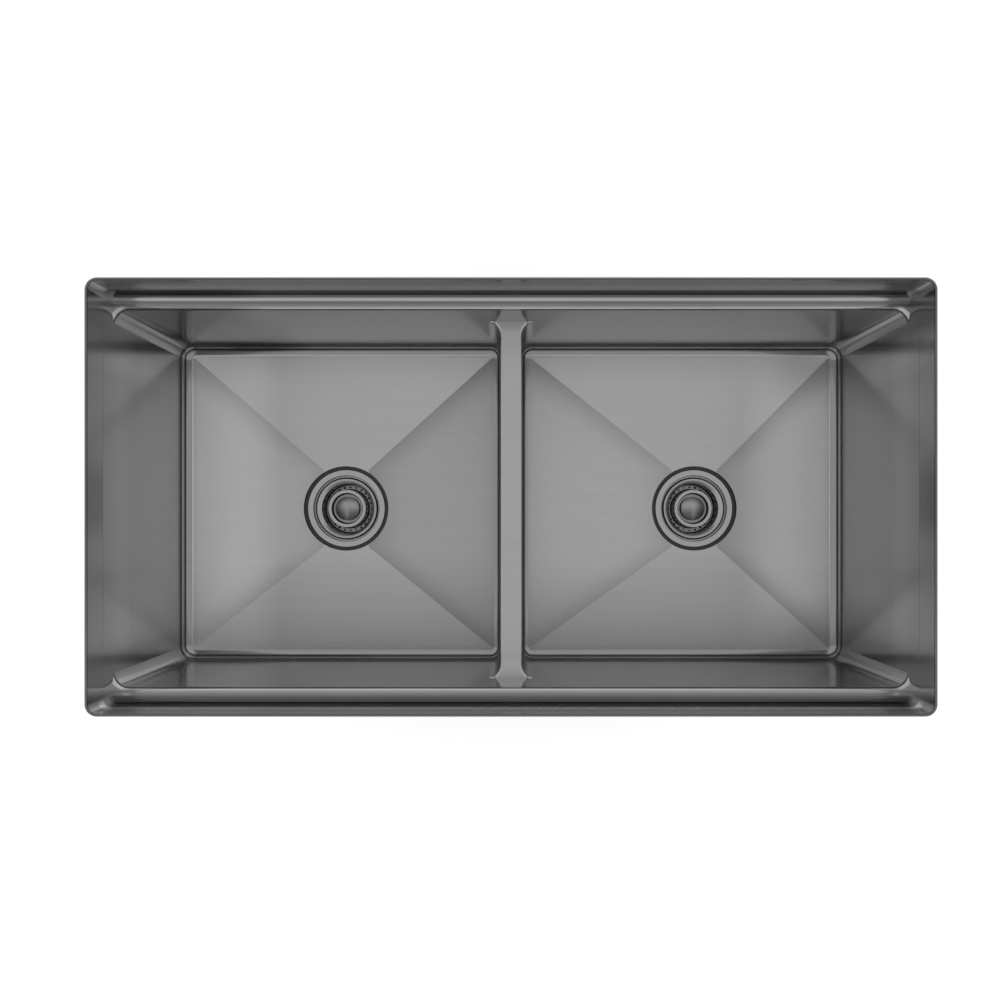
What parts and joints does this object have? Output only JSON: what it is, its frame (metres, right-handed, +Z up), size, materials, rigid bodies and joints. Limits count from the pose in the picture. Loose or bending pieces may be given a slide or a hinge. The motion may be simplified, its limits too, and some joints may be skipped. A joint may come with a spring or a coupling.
{
  "type": "double bowl kitchen sink",
  "caption": "Low-divide double bowl kitchen sink in dark brushed steel, with a ledge along the front and back walls and a lift-out basket strainer in each bowl.",
  "frame": {"origin": "middle of the sink in the plane of the mounting flange's top face, where the worktop's underside lies; the rim is 30 mm above it", "axes": "+X along the sink's length to the right, +Y to the back, +Z up out of the bowls"},
  "size_m": [0.896, 0.458, 0.3965],
  "materials": {
    "gunmetal_steel": "dark gunmetal, brushed along the length",
    "strainer_steel": "dark gunmetal, turned",
    "pad_rubber": "matt, finely grained sound pad",
    "seal_rubber": "smooth matt",
    "washer_fibre": "pressed fibre",
    "nut_metal": "cast, matt",
    "nut_plastic": "moulded, satin",
    "pipe_chrome": "polished"
  },
  "bodies": {
    "root": {"rim_frame": "gunmetal_steel", "left_bowl": "gunmetal_steel", "left_front_pad": "pad_rubber", "left_back_pad": "pad_rubber", "left_end_pad": "pad_rubber", "left_floor_pad": "pad_rubber", "left_strainer_body": "strainer_steel", "left_flange_gasket": "seal_rubber", "left_under_gasket": "seal_rubber", "left_friction_washer": "washer_fibre", "left_lock_nut": "nut_metal", "left_tailpiece_washer": "seal_rubber", "left_tailpiece": "pipe_chrome", "left_slip_nut": "nut_plastic", "right_bowl": "gunmetal_steel", "right_front_pad": "pad_rubber", "right_back_pad": "pad_rubber", "right_end_pad": "pad_rubber", "right_floor_pad": "pad_rubber", "right_strainer_body": "strainer_steel", "right_flange_gasket": "seal_rubber", "right_under_gasket": "seal_rubber", "right_friction_washer": "washer_fibre", "right_lock_nut": "nut_metal", "right_tailpiece_washer": "seal_rubber", "right_tailpiece": "pipe_chrome", "right_slip_nut": "nut_plastic"},
    "left_basket": {"left_basket_cup": "strainer_steel", "left_basket_stopper": "seal_rubber", "left_basket_post": "strainer_steel", "left_basket_clip": "strainer_steel", "left_basket_knob": "strainer_steel"},
    "right_basket": {"right_basket_cup": "strainer_steel", "right_basket_stopper": "seal_rubber", "right_basket_post": "strainer_steel", "right_basket_clip": "strainer_steel", "right_basket_knob": "strainer_steel"}
  },
  "joints": [
    {"name": "left_basket_lift", "type": "slide", "parent": "root", "child": "left_basket", "axis": [0, 0, 1], "range_m": [0, 0.3]},
    {"name": "right_basket_lift", "type": "slide", "parent": "root", "child": "right_basket", "axis": [0, 0, 1], "range_m": [0, 0.3]}
  ]
}
